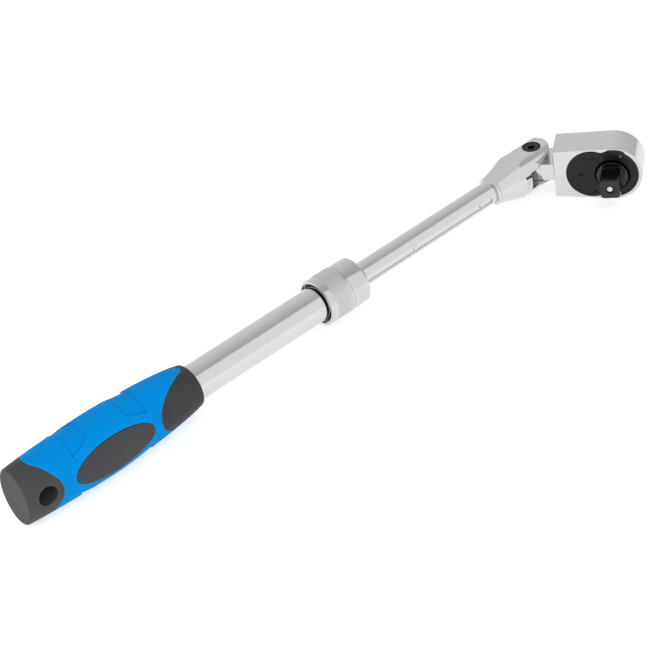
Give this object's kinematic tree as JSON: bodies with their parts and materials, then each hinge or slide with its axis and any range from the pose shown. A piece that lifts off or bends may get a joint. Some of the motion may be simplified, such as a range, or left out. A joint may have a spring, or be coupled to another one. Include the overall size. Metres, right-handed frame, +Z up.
{
  "type": "telescopic flex-head ratchet handle",
  "caption": "Telescopic ratchet handle with a flexing reversible head, a male square drive, a spring lock collar and a two-colour moulded grip with a hanging hole.",
  "frame": {"origin": "bottom centre of the whole object's box, lying on its side with the head bent and the shaft drawn out, as at rest", "axes": "+X along the handle from the butt to the head, +Z up along the flex pivot, -Y the side that the square drive is on"},
  "size_m": [0.4834, 0.0848, 0.0417],
  "materials": {
    "chrome": "polished chrome plate over forged and drawn steel",
    "blue_grip": "fine-textured blue moulding",
    "black_grip": "soft black moulding, matt",
    "core_plastic": "hard inner moulding",
    "black_steel": "black oxide steel, satin",
    "bearing_steel": "bright hardened steel",
    "spring_steel": "drawn spring wire",
    "gear_steel": "hardened and ground, oiled",
    "brass": "turned bush"
  },
  "bodies": {
    "handle": {"grip_core": "core_plastic", "grip_sleeve": "blue_grip", "grip_end_cap": "black_grip", "grip_nose": "black_grip", "grip_pads": "black_grip", "handle_tube": "chrome", "guide_bush": "brass", "spring_seat_ring": "black_steel"},
    "collar": {"lock_collar": "chrome", "collar_clip": "black_steel", "collar_spring": "spring_steel"},
    "lock_ball": {"lock_ball": "bearing_steel"},
    "shaft": {"inner_shaft": "chrome", "shaft_end_ring": "spring_steel", "yoke": "chrome", "pivot_screw": "black_steel", "flex_spring": "spring_steel"},
    "flex_plunger": {"flex_plunger": "bearing_steel"},
    "head": {"ratchet_head": "chrome", "cover_plate": "black_steel", "cover_pin": "bearing_steel", "cover_screws": "black_steel"},
    "drive": {"drive_anvil": "black_steel", "release_spring": "spring_steel"},
    "release": {"release_button": "bearing_steel", "release_rod": "bearing_steel"},
    "drive_ball": {"drive_ball": "bearing_steel"},
    "selector": {"selector_spindle": "black_steel", "reversing_lever": "black_steel", "selector_plunger": "bearing_steel", "selector_spring": "spring_steel"},
    "pawl": {"pawl": "gear_steel"}
  },
  "joints": [
    {"name": "shaft_slide", "type": "slide", "parent": "handle", "child": "shaft", "axis": [1, 0, 0], "range_m": [-0.119, 0.002]},
    {"name": "collar_pull", "type": "slide", "parent": "handle", "child": "collar", "axis": [-1, 0, 0], "range_m": [0, 0.004], "stiffness_N_per_m": 800, "springref_m": -0.006, "deforming": ["collar_spring"]},
    {"name": "lock_ball_lift", "type": "slide", "parent": "handle", "child": "lock_ball", "axis": [0, -1, 0], "range_m": [0, 0.0013]},
    {"name": "head_flex", "type": "hinge", "parent": "shaft", "child": "head", "pos_m": [0.18886, 0.02511, 0.02085], "axis": [0, 0, 1], "range_deg": [-37, 143]},
    {"name": "flex_plunger_slide", "type": "slide", "parent": "shaft", "child": "flex_plunger", "axis": [-1, 0, 0], "range_m": [0, 0.001], "stiffness_N_per_m": 1500, "springref_m": -0.003, "deforming": ["flex_spring"]},
    {"name": "drive_turn", "type": "hinge", "parent": "head", "child": "drive", "pos_m": [0.22148, -0.01818, 0.02085], "axis": [-0.7986, -0.6018, 0], "continuous": true},
    {"name": "release_push", "type": "slide", "parent": "drive", "child": "release", "axis": [-0.7986, -0.6018, 0], "range_m": [0, 0.0025], "stiffness_N_per_m": 900, "springref_m": -0.004, "deforming": ["release_spring"]},
    {"name": "ball_sink", "type": "slide", "parent": "drive", "child": "drive_ball", "axis": [-0.0273, 0.0362, 0.999], "range_m": [0, 0.0007]},
    {"name": "selector_turn", "type": "hinge", "parent": "head", "child": "selector", "pos_m": [0.2089, -0.00148, 0.02085], "axis": [-0.7986, -0.6018, 0], "range_deg": [-50, 0]},
    {"name": "pawl_rock", "type": "hinge", "parent": "head", "child": "pawl", "pos_m": [0.22148, -0.01818, 0.02085], "axis": [-0.7986, -0.6018, 0], "range_deg": [0, 9]}
  ],
  "couplings": [
    {"joint": "lock_ball_lift", "follows": "collar_pull", "ratio": 0.325},
    {"joint": "ball_sink", "follows": "release_push", "ratio": 0.28},
    {"joint": "pawl_rock", "follows": "selector_turn", "ratio": -0.18}
  ]
}
